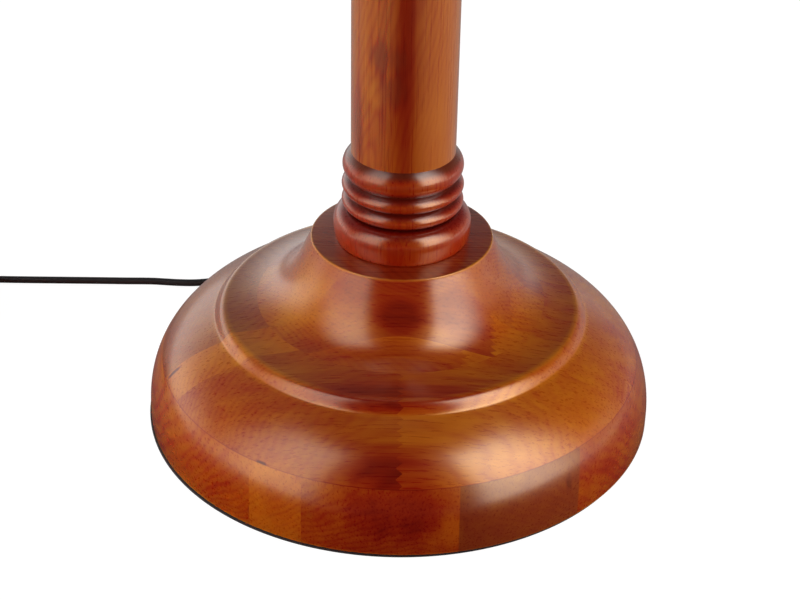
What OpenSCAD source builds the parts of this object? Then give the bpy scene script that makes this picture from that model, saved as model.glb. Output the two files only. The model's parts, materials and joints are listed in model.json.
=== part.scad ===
// Candlestick floor lamp: a turned wooden base and column with bead mouldings, a drip pan and
// candle cup, a switched lampholder, a harp and a fabric shade. Millimetres, floor at z = 0,
// the column's axis is the Z axis and the cord leaves at the back (+Y).

/* [Base] */
// Diameter of the base at its foot
base_d = 320; // [300:1:340]
// Thickness of the lower glued layer
lower_layer_h = 40.5; // [38:0.5:46]
// Thickness of the middle glued layer
middle_layer_h = 39.2; // [37:0.2:45]
// Thickness of the top glued layer
top_layer_h = 43; // [40:0.5:50]
// Thickness of the soft pad under the base
pad_t = 2; // [1:0.5:4]
// Thickness of the steel ballast plate
ballast_t = 14; // [8:1:18]

/* [Column] */
// Diameter of the plain column
column_d = 63.2; // [60:0.2:70]
// Length of the lower column section between its shoulders
lower_column_h = 437; // [300:1:520]
// Length of the upper column section between its shoulders
upper_column_h = 422; // [300:1:520]
// Length of the ring that hides the column's joint
joint_ring_h = 48; // [44:1:60]
// Diameter of the narrow beads
bead_d = 74.2; // [72:0.2:78]

/* [Top] */
// Diameter of the drip pan
pan_d = 124; // [110:1:140]
// Height of the drip pan
pan_h = 42; // [38:1:50]
// Height of the candle cup above the pan's dish
cup_h = 46; // [42:1:60]

/* [Harp and shade] */
// Inside width between the harp's legs
harp_w = 108; // [100:1:120]
// Height from the saddle to the harp's stud shoulder
harp_h = 241; // [235:1:250]
// Diameter of the shade at its lower edge
shade_bottom_d = 450; // [400:5:480]
// Diameter of the shade at its upper edge
shade_top_d = 300; // [260:5:330]
// Height of the shade
shade_h = 280; // [250:5:290]
// Thickness of the laminated shade cloth
cloth_t = 1; // [0.8:0.1:1.5]

/* [Cord] */
// Diameter of the mains cord
cord_d = 5; // [5:0.1:5.4]
// Full turns of the stored coil that lie beside each other
coil_columns = 2; // [2:1:2]
// Layers of the stored coil
coil_layers = 4; // [3:1:4]

/* [Hidden] */

fit = 0.1;          // gap of a wooden tenon in its socket, and of a glued or pressed piece
running = 0.06;     // radial gap of a piece that turns
thread_fit = 0.05;  // radial gap of a nut on its thread
socket_gap = 0.5;   // spare depth behind a tenon or spigot
smooth = 96;

// Heights of the stack, from the floor up
wood_z = pad_t;
seam_low_z = wood_z + lower_layer_h;
seam_high_z = seam_low_z + middle_layer_h;
base_top_z = seam_high_z + top_layer_h;
collar_h = 58.1;
column_z = base_top_z + collar_h;
ring_z = column_z + lower_column_h;
upper_z = ring_z + joint_ring_h;
top_collar_z = upper_z + upper_column_h;
pan_z = top_collar_z + collar_h;
dish_depth = 4;
cup_z = pan_z + pan_h - dish_depth;
cup_top_z = cup_z + cup_h;

// Base
base_r = base_d / 2;
widen = base_r / 160;
pad_r = base_r - 0.5;
recess_r = 115 * widen;
rebate_r = 125.5 * widen;
rebate_h = 3.6;
cover_t = 3;
ballast_r = 100 * widen;
ballast_hole_r = 30;
ballast_z = seam_low_z - ballast_t;
cover_screw_ring = 120 * widen;
cover_screw_r = 2;
cover_screw_l = 16;
cover_hole_r = cover_screw_r + 0.2;
ballast_screw_ring = 78 * widen;
ballast_screw_r = 2.4;
ballast_screw_grip = 16;
screw_count = 4;
screw_tip_r = 0.4;
exit_z = wood_z + 10;
gland_hole_r = 4.5;
spot_r = 7.5;
spot_y = base_r - 1.8;
top_edge_r = 56.2;
edge_round = 0.8;
cove_r = 117.2 * widen;
cove_z = 70.1;
ledge_r = 110 * widen;
ledge_z = 77.2;

// Column and its tenons
column_r = column_d / 2;
bead_r = bead_d / 2;
groove_r = 32.5;
torus_r = 42.2;
torus_foot_r = 40.1;
torus_crest = 10.8;
torus_h = 20.3;
bead_h = 10.6;
top_bead_r = bead_r - 0.45;
tenon_r = 18;
tenon_h = 32;
spigot_r = 22;
spigot_h = 8;
bore_r = 5.5;

// Threaded tube and its nuts
tube_r = 5;
tube_wall = 1;
tube_z = seam_low_z - 11.5;
nut_flats = 17;
nut_h = 6;
washer_r = 16;
washer_t = 2;
cap_z = cup_top_z;
cap_h = 4;
lock_nut_h = 4;
saddle_z = cap_z + cap_h + lock_nut_h;
saddle_t = 1.5;
holder_z = saddle_z + saddle_t;
tube_top_z = holder_z + 8;

// Lampholder, heights above holder_z
holder_r = 19.5;
holder_cap_h = 20;
shell_h = 48;
shell_z = holder_z + holder_cap_h;
shell_wall = 0.8;
spindle_r = 2.5;
knob_z = shell_z + 10;
thread_z = shell_z + 22;
bulb_z = thread_z + 1;
bulb_base_r = 13;
bulb_base_h = 26;
bulb_r = 30;

// Harp and shade
wire_r = 2;
weld_r = wire_r + 0.03;
weld_gap = 0.1;
leg_x = 34;
peg_h = 5;
leg_z = saddle_z + saddle_t + peg_h;
leg_h = 15.5;
ferrule_r = 3.9;
ferrule_h = 12;
ferrule_gap = 0.05;
jog_r = 25;
jog_a = 45;
harp_x = harp_w / 2 + wire_r;
stud_z = saddle_z + harp_h;
arch_z = stud_z - 5;
stud_r = 3.1;
stud_h = 17;
boss_r = 7;
hub_r = 12;
hub_t = 2.5;
hub_gap = 0.1;
hub_z = stud_z + hub_gap;
spider_drop = 12;
shade_top_z = hub_z + hub_t + spider_drop;
shade_bottom_z = shade_top_z - shade_h;
ring_wire_r = 1.75;
arm_r = 1.6;
tape_w = 9;
tape_t = 0.6;
tape_gap = 0.03;

// Cord: where it runs from the gland's tip to the coil, and from the coil to the plug
cord_r = cord_d / 2;
floor_z = cord_r;
tip_y = 183;
coil_x = -324;
coil_y = 107;
coil_z = 0.8;
coil_mid_r = 28.5;
coil_in_r = coil_mid_r - coil_columns * cord_r;
coil_out_r = coil_mid_r + coil_columns * cord_r;
coil_top_z = coil_z + coil_layers * cord_d;
top_turn_z = coil_top_z - cord_r;
plug_x = coil_x - coil_out_r + cord_r;
plug_z = 6.9;
plug_rear_y = 18;
plug_body_l = 26;
pin_r = 2;
pin_root_r = 1.6;
pin_root_l = 7;
pin_l = 19;
pin_tip_l = 1;
pin_x = 9.5;
cord_route = [[0, tip_y, exit_z], [0, 190, 11.8], [0, 198, 10.5], [-1, 206, 8], [-4, 214, 5],
    [-9, 221, 3], [-17, 227, floor_z], [-27, 230, floor_z], [-38, 229, floor_z],
    [-50, 224, floor_z], [-62, 215, floor_z], [-75, 202, floor_z], [-88, 186, floor_z],
    [-100, 171, floor_z], [-112, 157, floor_z], [-124, 147, floor_z], [-136, 141, floor_z],
    [-148, 138.5, floor_z], [-160, 138.3, floor_z], [-170, 139, floor_z],
    [-180, 139.6, floor_z], [-198, 139.2, floor_z], [-216, 139, floor_z],
    [-240, 138.6, floor_z], [-265, 138.2, floor_z], [-290, 138, floor_z],
    [-306, 138, 2.9], [-318, 138, 3.3]];
tail_route = [[plug_x, 97, top_turn_z], [plug_x, 90, 17.9], [plug_x, 82, 16.4],
    [plug_x, 74, 13.8], [plug_x, 66, 10.8], [plug_x, 58, 8.4], [plug_x, 50, 7.2],
    [plug_x, 42, plug_z]];

wood = [0.55, 0.2, 0.06];
brass = [0.78, 0.62, 0.32];
steel = [0.72, 0.72, 0.74];
black = [0.06, 0.06, 0.07];
linen = [0.9, 0.85, 0.74];

// ---- curves -------------------------------------------------------------------------------

// Cubic curve from a to d with the handles b and c
function curve(a, b, c, d, n = 24) = [for (i = [0:n]) let (t = i / n)
    pow(1 - t, 3) * a + 3 * t * pow(1 - t, 2) * b + 3 * t * t * (1 - t) * c + pow(t, 3) * d];

// Parabolic bead from radius r0 at z0 to radius r1 at z1, standing h proud at its crest
function bead(r0, r1, h, z0, z1, n = 12) = [for (i = [0:n]) let (t = i / n)
    [r0 + (r1 - r0) * t + 4 * h * t * (1 - t), z0 + (z1 - z0) * t]];

// Quarter ellipse about c with half axes a (radial) and b (up), from angle a0 to a1
function sweep_arc(c, a, b, a0, a1, n = 12) = [for (i = [0:n]) let (t = a0 + (a1 - a0) * i / n)
    [c[0] + a * cos(t), c[1] + b * sin(t)]];

// Solid turned about Z, closed along the axis bore of radius bore
module turned(outline, bore = bore_r) {
    first = outline[0];
    last = outline[len(outline) - 1];
    rotate_extrude($fn = smooth)
        polygon(concat([[bore, first[1]]], outline, [[bore, last[1]]]));
}

// Ring of equal pieces about Z
module around(count, radius, start = 0) {
    for (i = [0:count - 1])
        rotate([0, 0, start + i * 360 / count]) translate([radius, 0, 0]) children();
}

module tube(r_out, r_in, h) {
    difference() {
        cylinder(r = r_out, h = h, $fn = smooth);
        translate([0, 0, -1]) cylinder(r = r_in, h = h + 2, $fn = smooth);
    }
}

// ---- base ---------------------------------------------------------------------------------

// Side of the base from its foot to the small cove step
dome = concat([[159.2 * widen, wood_z], [base_r - 0.1, wood_z + edge_round]],
    curve([base_r - 0.1, 9.4], [base_r - 0.1, 47.7], [132.9 * widen, 60.6],
        [cove_r, cove_z], 32));
// The cove step and the sweep up to the flat top
step = curve([cove_r, cove_z], [115.4 * widen, 71.6], [114.2 * widen, 76.6],
    [ledge_r, ledge_z], 10);
sweep_up = curve([ledge_r, ledge_z], [72 * widen, 81.5], [67, 100],
    [top_edge_r, base_top_z - edge_round], 32);

// Part of an outline between two heights, with its ends cut level
function between(line, z0, z1) = [for (p = line) if (p[1] > z0 && p[1] < z1) p];
function radius_at(line, z) = [for (i = [0:len(line) - 2])
    let (p = line[i], q = line[i + 1])
    if (p[1] <= z && q[1] >= z) p[0] + (q[0] - p[0]) * (z - p[1]) / (q[1] - p[1])][0];
base_line = concat(dome, [for (i = [1:len(step) - 1]) step[i]],
    [for (i = [1:len(sweep_up) - 1]) sweep_up[i]], [[top_edge_r - edge_round, base_top_z]]);
function layer_line(z0, z1) = concat([[radius_at(base_line, z0), z0]],
    between(base_line, z0, z1), [[radius_at(base_line, z1), z1]]);

module base_pad() {
    color(black) cylinder(r = pad_r, h = pad_t, $fn = smooth);
}

module base_cover() {
    color([0.2, 0.16, 0.13]) difference() {
        translate([0, 0, wood_z]) cylinder(r = rebate_r - 0.5, h = cover_t, $fn = smooth);
        around(screw_count, cover_screw_ring, 45) translate([0, 0, wood_z - 1])
            cylinder(r = cover_hole_r, h = cover_t + 2, $fn = 24);
        around(screw_count, cover_screw_ring, 45) translate([0, 0, wood_z - 0.01])
            cylinder(r1 = head_r(cover_screw_r) + 0.2, r2 = cover_hole_r,
                h = head_h(cover_screw_r), $fn = 24);
    }
}

// Radius and height of a countersunk head
function head_r(shank_r) = shank_r * 1.95;
function head_h(shank_r) = shank_r * 0.95;

// Countersunk wood screw, head down, its head's face at z = 0
module countersunk_screw(shank_r, length) {
    tip_h = 2;
    cylinder(r1 = head_r(shank_r), r2 = shank_r, h = head_h(shank_r), $fn = 24);
    cylinder(r = shank_r, h = length - tip_h, $fn = 24);
    translate([0, 0, length - tip_h])
        cylinder(r1 = shank_r, r2 = screw_tip_r, h = tip_h, $fn = 24);
}

module cover_screws() {
    color(steel) around(screw_count, cover_screw_ring, 45) translate([0, 0, wood_z + 0.05])
        countersunk_screw(cover_screw_r, cover_screw_l);
}

module ballast_plate() {
    color([0.3, 0.3, 0.32]) difference() {
        translate([0, 0, ballast_z]) cylinder(r = ballast_r, h = ballast_t, $fn = smooth);
        translate([0, 0, ballast_z - 1])
            cylinder(r = ballast_hole_r, h = ballast_t + 2, $fn = smooth);
        around(screw_count, ballast_screw_ring) translate([0, 0, ballast_z - 1])
            cylinder(r = ballast_screw_r + 0.4, h = ballast_t + 2, $fn = 24);
    }
}

module ballast_screws() {
    pan_head_r = 2 * ballast_screw_r;
    pan_head_h = 2.5;
    shank_l = ballast_t + ballast_screw_grip;
    color(steel) around(screw_count, ballast_screw_ring) translate([0, 0, ballast_z]) {
        translate([0, 0, -pan_head_h])
            cylinder(r1 = 0.75 * pan_head_r, r2 = pan_head_r, h = pan_head_h, $fn = 24);
        cylinder(r = ballast_screw_r, h = shank_l, $fn = 24);
        translate([0, 0, shank_l])
            cylinder(r1 = ballast_screw_r, r2 = screw_tip_r, h = 3, $fn = 24);
    }
}

module base_lower_layer() {
    color(wood) difference() {
        turned(layer_line(wood_z, seam_low_z), recess_r);
        translate([0, 0, wood_z - 1]) cylinder(r = rebate_r, h = rebate_h + 1, $fn = smooth);
        translate([0, recess_r - 5, exit_z]) rotate([-90, 0, 0])
            cylinder(r = gland_hole_r, h = base_r - recess_r + 15, $fn = 32);
        translate([0, spot_y, exit_z]) rotate([-90, 0, 0])
            cylinder(r = spot_r, h = 10, $fn = 48);
        around(screw_count, cover_screw_ring, 45) translate([0, 0, wood_z + rebate_h - 1])
            cylinder(r = cover_screw_r + 0.05, h = cover_screw_l - 2, $fn = 24);
    }
}

module base_middle_layer() {
    color(wood) difference() {
        turned(layer_line(seam_low_z, seam_high_z));
        around(screw_count, ballast_screw_ring) translate([0, 0, seam_low_z - 1])
            cylinder(r = ballast_screw_r + 0.05, h = ballast_screw_grip + 5, $fn = 24);
    }
}

module base_top_layer() {
    color(wood) difference() {
        turned(layer_line(seam_high_z, base_top_z));
        translate([0, 0, base_top_z - spigot_h - socket_gap])
            cylinder(r = spigot_r + fit, h = spigot_h + 2, $fn = smooth);
    }
}

// ---- threaded tube ------------------------------------------------------------------------

module hex_nut(h) {
    difference() {
        cylinder(d = nut_flats / cos(30), h = h, $fn = 6);
        translate([0, 0, -1]) cylinder(r = tube_r + thread_fit, h = h + 2, $fn = 32);
    }
}

module bottom_washer() {
    color(steel) translate([0, 0, seam_low_z - washer_t]) tube(washer_r, tube_r + 0.3, washer_t);
}

module bottom_nut() {
    color(steel) translate([0, 0, seam_low_z - washer_t - nut_h]) hex_nut(nut_h);
}

module lamp_tube() {
    color(steel) translate([0, 0, tube_z]) tube(tube_r, tube_r - tube_wall, tube_top_z - tube_z);
}

// ---- column -------------------------------------------------------------------------------

// Four beads of the collar from its broad foot up, drawn from z = 0
collar_line = concat(
    sweep_arc([torus_foot_r, torus_crest], torus_r - torus_foot_r, torus_crest, -90, 0, 8),
    sweep_arc([groove_r + 0.5, torus_crest], torus_r - groove_r - 0.5, torus_h - torus_crest,
        0, 90, 12),
    [for (i = [0:1]) each bead(groove_r, groove_r, bead_r - groove_r,
        torus_h + i * bead_h, torus_h + (i + 1) * bead_h)],
    bead(groove_r, column_r, top_bead_r - (groove_r + column_r) / 2,
        torus_h + 2 * bead_h, collar_h, 16));

// Collar with a locating spigot below and a socket for the column's tenon above
module collar() {
    difference() {
        union() {
            turned(collar_line);
            translate([0, 0, -spigot_h]) cylinder(r = spigot_r, h = spigot_h + 1, $fn = smooth);
        }
        translate([0, 0, -spigot_h - 1]) cylinder(r = bore_r, h = collar_h, $fn = 48);
        translate([0, 0, collar_h - tenon_h - socket_gap])
            cylinder(r = tenon_r + fit, h = tenon_h + 2, $fn = smooth);
    }
}

module foot_collar() {
    color(wood) translate([0, 0, base_top_z]) collar();
}

module top_collar() {
    color(wood) translate([0, 0, pan_z]) mirror([0, 0, 1]) collar();
}

module lower_column() {
    color(wood) difference() {
        union() {
            translate([0, 0, column_z]) cylinder(r = column_r, h = lower_column_h, $fn = smooth);
            translate([0, 0, column_z - tenon_h])
                cylinder(r = tenon_r, h = tenon_h + 1, $fn = smooth);
        }
        translate([0, 0, column_z - tenon_h - 1])
            cylinder(r = bore_r, h = lower_column_h + tenon_h + 2, $fn = 48);
        translate([0, 0, ring_z - tenon_h - socket_gap])
            cylinder(r = tenon_r + fit, h = tenon_h + 2, $fn = smooth);
    }
}

// Ring of three beads that the upper column's long tenon passes through
module joint_ring() {
    side_h = (joint_ring_h - torus_h) / 2;
    side_proud = top_bead_r - (column_r + groove_r) / 2;
    middle_proud = torus_r - 2 - groove_r;
    color(wood) translate([0, 0, ring_z]) turned(concat(
        bead(column_r, groove_r, side_proud, 0, side_h, 16),
        bead(groove_r, groove_r, middle_proud, side_h, side_h + torus_h, 20),
        bead(groove_r, column_r, side_proud, side_h + torus_h, joint_ring_h, 16)),
        tenon_r + fit);
}

module upper_column() {
    color(wood) difference() {
        union() {
            translate([0, 0, upper_z]) cylinder(r = column_r, h = upper_column_h, $fn = smooth);
            translate([0, 0, ring_z - tenon_h])
                cylinder(r = tenon_r, h = tenon_h + joint_ring_h + 1, $fn = smooth);
            translate([0, 0, top_collar_z - 1])
                cylinder(r = tenon_r, h = tenon_h + 1, $fn = smooth);
        }
        translate([0, 0, ring_z - tenon_h - 1]) cylinder(r = bore_r,
            h = upper_column_h + joint_ring_h + 2 * tenon_h + 2, $fn = 48);
    }
}

// ---- drip pan and candle cup --------------------------------------------------------------

module drip_pan() {
    pan_r = pan_d / 2;
    foot_r = 38.5;
    rim_z = pan_h - 9;
    rim_proud = 4;
    dish_z = pan_h - dish_depth;
    color(wood) translate([0, 0, pan_z]) difference() {
        turned(concat([[foot_r, 0]],
            curve([foot_r, 4], [foot_r + 1.5, 20], [48, rim_z - 4], [pan_r - 5, rim_z - 1], 20),
            bead(pan_r - rim_proud, pan_r - rim_proud, rim_proud, rim_z, pan_h, 14),
            curve([pan_r - 6, pan_h], [pan_r - 12, pan_h - 1], [pan_r - 16, dish_z],
                [pan_r - 24, dish_z], 12)));
        translate([0, 0, -1])
            cylinder(r = spigot_r + fit, h = spigot_h + socket_gap + 1, $fn = smooth);
    }
}

// Vase-shaped cup where a candlestick would hold its candle
module candle_cup() {
    foot_h = 7;
    neck_r = 18;
    neck_z = 21;
    top_r = 24;
    rim_z = cup_h - 7;
    color(wood) translate([0, 0, cup_z]) turned(concat(
        bead(30, 28, 2.5, 0, foot_h, 10),
        curve([27, foot_h], [20, 9], [17.5, 15], [neck_r, neck_z], 12),
        curve([neck_r, neck_z], [19, 29], [top_r, 31], [top_r + 0.5, rim_z - 1], 12),
        bead(top_r, top_r, 2.2, rim_z, cup_h, 10)));
}

module cup_cap() {
    color(brass) translate([0, 0, cap_z]) turned(concat([[20, 0]],
        curve([20, 0.8], [19, 3], [13, cap_h], [10, cap_h], 10)), tube_r + 0.2);
}

module lock_nut() {
    color(brass) translate([0, 0, cap_z + cap_h]) hex_nut(lock_nut_h);
}

// ---- harp ---------------------------------------------------------------------------------

// Flat strip clamped under the lampholder, with an upright peg at each end for the harp
module harp_saddle() {
    strip_w = 14;
    color(brass) {
        difference() {
            translate([0, 0, saddle_z]) linear_extrude(saddle_t) {
                square([2 * leg_x, strip_w], center = true);
                for (side = [-1, 1]) translate([side * leg_x, 0])
                    circle(d = strip_w, $fn = 32);
            }
            translate([0, 0, saddle_z - 1]) cylinder(r = tube_r + 0.2, h = 4, $fn = 48);
        }
        for (side = [-1, 1]) translate([side * leg_x, 0, saddle_z + saddle_t - 0.1])
            cylinder(r = wire_r, h = peg_h + 0.1, $fn = 32);
    }
}

// Sleeves that drop over the joints of the saddle's pegs and the harp's legs
module harp_ferrules() {
    color(brass) for (side = [-1, 1])
        translate([side * leg_x, 0, saddle_z + saddle_t + ferrule_gap])
            tube(ferrule_r, wire_r + 0.1, ferrule_h);
}

// A wire bend of the given radius in the XZ plane, from the X axis through the given angle
module bend(radius, angle) {
    rotate([90, 0, 0]) rotate_extrude(angle = angle, $fn = smooth)
        translate([radius, 0]) circle(r = wire_r, $fn = 24);
}

// A straight length of wire, a hair short at both ends, where a weld holds it
module wire(length) {
    translate([0, 0, weld_gap]) cylinder(r = wire_r, h = length - 2 * weld_gap, $fn = 24);
}

// One leg with its outward jog, on the +X side
module harp_side() {
    jog_side = jog_r * (1 - cos(jog_a));
    jog_h = jog_r * sin(jog_a);
    leg_top = leg_z + leg_h;
    slant = (harp_x - leg_x - 2 * jog_side) / sin(jog_a);
    jog_top = leg_top + 2 * jog_h + slant * cos(jog_a);
    translate([leg_x, 0, leg_z]) cylinder(r = wire_r, h = leg_h - weld_gap, $fn = 24);
    translate([leg_x + jog_r, 0, leg_top]) rotate([0, jog_a - 180, 0]) bend(jog_r, jog_a);
    translate([leg_x + jog_side, 0, leg_top + jog_h]) rotate([0, jog_a, 0]) wire(slant);
    translate([harp_x - jog_r, 0, jog_top]) rotate([0, jog_a, 0]) bend(jog_r, jog_a);
    translate([harp_x, 0, jog_top]) wire(arch_z - harp_x - jog_top);
    for (weld = [[leg_x, leg_top], [leg_x + jog_side, leg_top + jog_h],
        [harp_x - jog_side, jog_top - jog_h], [harp_x, jog_top], [harp_x, arch_z - harp_x]])
            translate([weld[0], 0, weld[1]]) sphere(r = weld_r, $fn = 24);
}

module harp() {
    boss_h = stud_z - arch_z + 1;
    color(brass) {
        harp_side();
        mirror([1, 0, 0]) harp_side();
        translate([0, 0, arch_z - harp_x]) bend(harp_x, 180);
        translate([0, 0, stud_z - boss_h]) cylinder(r = boss_r, h = boss_h, $fn = 32);
        translate([0, 0, stud_z - 0.1]) cylinder(r = stud_r, h = stud_h + 0.1, $fn = 32);
    }
}

module finial() {
    foot_z = hub_z + hub_t + hub_gap;
    color(brass) difference() {
        rotate_extrude($fn = smooth) polygon(concat([[0, foot_z], [9, foot_z]],
            curve([9, foot_z + 2], [8.5, foot_z + 4], [4.6, foot_z + 5], [4.6, foot_z + 9], 10),
            bead(4.8, 4.8, 1.6, foot_z + 9.5, foot_z + 13, 8),
            curve([4.8, foot_z + 13.5], [11.5, foot_z + 15], [11, foot_z + 30],
                [2.2, foot_z + 34], 16),
            curve([2.2, foot_z + 34], [3.4, foot_z + 35], [2.6, foot_z + 38], [0, foot_z + 38],
                8)));
        translate([0, 0, foot_z - 1]) cylinder(r = stud_r + thread_fit, h = stud_h, $fn = 32);
    }
}

// ---- lampholder and bulb ------------------------------------------------------------------

module holder_cap() {
    neck_r = 8;
    skirt_r = holder_r - shell_wall;
    color(brass) rotate_extrude($fn = smooth) polygon(concat(
        [[tube_r + thread_fit, holder_z], [neck_r, holder_z], [neck_r, holder_z + 5]],
        curve([neck_r, holder_z + 5], [neck_r + 1, holder_z + 10], [holder_r - 1.5, holder_z + 8],
            [holder_r, holder_z + 15], 12),
        [[holder_r, shell_z - 1], [skirt_r, shell_z - 1], [skirt_r, holder_z + 15.6]],
        curve([skirt_r, holder_z + 15.6], [17, holder_z + 9.5], [9.5, holder_z + 10.5],
            [neck_r - 1, holder_z + 8.2], 12),
        [[tube_r + thread_fit, holder_z + 8.2]]));
}

// Moulded insulating body that carries the turn switch and the terminals
module switch_body() {
    body_r = 16.4;
    cable_hole_r = 3.4;
    color([0.12, 0.1, 0.09]) difference() {
        translate([0, 0, holder_z + 13]) cylinder(r = body_r, h = thread_z - holder_z - 15,
            $fn = smooth);
        translate([0, 0, knob_z]) rotate([90, 0, 0])
            cylinder(r = spindle_r + running, h = 30, $fn = 32);
        translate([0, 0, holder_z + 12]) cylinder(r = cable_hole_r, h = 7, $fn = 32);
    }
}

// Plate and button under the bulb, and the two terminals under the switch
module switch_contacts() {
    plate_t = 0.8;
    terminal_x = 10.5;
    color(brass) {
        translate([0, 0, thread_z - 2]) cylinder(r = 9, h = plate_t, $fn = 32);
        translate([0, 0, thread_z - 1.3]) cylinder(r = 3.5, h = 2.25, $fn = 32);
        for (side = [-1, 1]) translate([side * terminal_x, 0, holder_z + 11])
            cylinder(r = 2, h = 2, $fn = 24);
    }
}

module holder_liner() {
    liner_r = holder_r - 1.8;
    liner_t = 0.8;
    color([0.75, 0.68, 0.55]) translate([0, 0, shell_z + 15.5])
        tube(liner_r, liner_r - liner_t, shell_h - 18);
}

// Threaded metal shell that the bulb screws into
module screw_shell() {
    depth = 24;
    floor_t = 0.8;
    color(brass) translate([0, 0, thread_z - 1.2]) difference() {
        cylinder(r = bulb_base_r + 1.6, h = depth, $fn = smooth);
        translate([0, 0, floor_t]) cylinder(r = bulb_base_r + 0.2, h = depth, $fn = smooth);
        translate([0, 0, -1]) cylinder(r = 10, h = 3, $fn = 48);
    }
}

// Outer shell with a rolled bead and lip, its lower edge inside the cap's skirt
module holder_shell() {
    outer = holder_r - shell_wall - 0.1;
    lap = 4;
    lip = 1.4;
    top_z = shell_z + shell_h;
    color(brass) difference() {
        rotate_extrude($fn = smooth) polygon(concat(
            [[outer, shell_z - lap], [outer, shell_z + 4]],
            bead(outer, outer, 1.1, shell_z + 4, shell_z + 8, 8),
            [[outer, top_z - 4], [outer + lip, top_z - 1], [outer + lip, top_z],
                [outer + 0.2, top_z], [outer - shell_wall, top_z - 4],
                [outer - shell_wall, shell_z - lap]]));
        translate([0, 0, knob_z]) rotate([90, 0, 0])
            cylinder(r = spindle_r + 0.7, h = 30, $fn = 32);
    }
}

// Turn knob with its spindle, in front of the lampholder
module switch_knob() {
    spindle_l = 16;
    grip_y = 24;
    grip_r = 6.8;
    flutes = 12;
    color(black) translate([0, 0, knob_z]) rotate([90, 0, 0]) {
        translate([0, 0, grip_y - spindle_l]) cylinder(r = spindle_r, h = spindle_l, $fn = 32);
        translate([0, 0, grip_y - 3]) cylinder(r = 4, h = 4, $fn = 32);
        translate([0, 0, grip_y]) linear_extrude(13) difference() {
            circle(r = grip_r, $fn = 48);
            around(flutes, grip_r + 0.6) circle(r = 1.2, $fn = 16);
        }
    }
}

module bulb_base() {
    contact_r = 4.8;
    taper_h = 4;
    color(steel) {
        translate([0, 0, bulb_z])
            cylinder(r1 = contact_r, r2 = bulb_base_r - 1, h = taper_h, $fn = smooth);
        translate([0, 0, bulb_z + taper_h])
            cylinder(r = bulb_base_r, h = bulb_base_h - taper_h, $fn = smooth);
    }
}

module bulb_glass() {
    neck_r = 14;
    neck_z = bulb_z + bulb_base_h;
    widest_z = neck_z + 50;
    crown_z = widest_z + bulb_r;
    color([0.95, 0.95, 0.93]) rotate_extrude($fn = smooth) polygon(concat(
        [[0, neck_z], [neck_r, neck_z]],
        curve([neck_r, neck_z + 2], [neck_r + 1, neck_z + 22], [bulb_r, neck_z + 28],
            [bulb_r, widest_z], 20),
        curve([bulb_r, widest_z], [bulb_r, widest_z + 17], [16.5, crown_z], [0, crown_z], 20)));
}

// ---- shade --------------------------------------------------------------------------------

lean = (shade_bottom_d - shade_top_d) / 2 / shade_h;

// Radius of the cloth's outside at height z
function cloth_r(z) = shade_top_d / 2 + (shade_top_z - z) * lean;

// Conical band against the cloth, from z0 to z1, starting out proud of the cloth's outside
module cone_band(z0, z1, out, thick) {
    rotate_extrude($fn = smooth) polygon([[cloth_r(z0) + out - thick, z0],
        [cloth_r(z0) + out, z0], [cloth_r(z1) + out, z1], [cloth_r(z1) + out - thick, z1]]);
}

// Centre of a ring wire that touches the cloth's inside at height z
function ring_wire_x(z) = cloth_r(z) - cloth_t - ring_wire_r * sqrt(1 + lean * lean) - 0.03;

module shade_spider() {
    upper_ring_z = shade_top_z - ring_wire_r - 0.3;
    ring_x = ring_wire_x(upper_ring_z);
    arm_z = hub_z + hub_t / 2;
    arm_start = hub_r - 1.5;
    reach = ring_x - arm_start;
    rise = upper_ring_z - arm_z;
    color(brass) {
        translate([0, 0, upper_ring_z]) rotate_extrude($fn = smooth)
            translate([ring_x, 0]) circle(r = ring_wire_r, $fn = 20);
        for (i = [0:2]) rotate([0, 0, 90 + i * 120]) translate([arm_start, 0, arm_z])
            rotate([0, 90 - atan2(rise, reach), 0])
                cylinder(r = arm_r, h = sqrt(reach * reach + rise * rise), $fn = 20);
        difference() {
            translate([0, 0, hub_z]) cylinder(r = hub_r, h = hub_t, $fn = 48);
            translate([0, 0, hub_z - 1]) cylinder(r = stud_r + running, h = hub_t + 2,
                $fn = 48);
        }
    }
}

module shade_bottom_ring() {
    lower_ring_z = shade_bottom_z + ring_wire_r + 0.3;
    color(brass) translate([0, 0, lower_ring_z]) rotate_extrude($fn = smooth)
        translate([ring_wire_x(lower_ring_z), 0]) circle(r = ring_wire_r, $fn = 20);
}

module shade_cloth() {
    color(linen) cone_band(shade_bottom_z, shade_top_z, 0, cloth_t);
}

module shade_top_tape() {
    color(linen) cone_band(shade_top_z - tape_w, shade_top_z, tape_gap + tape_t,
        tape_t);
}

module shade_bottom_tape() {
    color(linen) cone_band(shade_bottom_z, shade_bottom_z + tape_w,
        tape_gap + tape_t, tape_t);
}

// ---- cord ---------------------------------------------------------------------------------

// Cable inside the base and the lamp tube, from the gland's tip to the switch
module inner_cable() {
    turn_r = 22;
    top_z = holder_z + 17;
    color(black) {
        translate([0, turn_r, exit_z]) rotate([-90, 0, 0])
            cylinder(r = cord_r, h = tip_y - turn_r - 0.1, $fn = 32);
        translate([0, turn_r, exit_z + turn_r]) rotate([90, 0, 90]) rotate([0, 0, 180])
            rotate_extrude(angle = 90, $fn = smooth) translate([turn_r, 0])
                circle(r = cord_r, $fn = 32);
        translate([0, 0, exit_z + turn_r])
            cylinder(r = cord_r, h = top_z - exit_z - turn_r, $fn = 32);
    }
}

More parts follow.
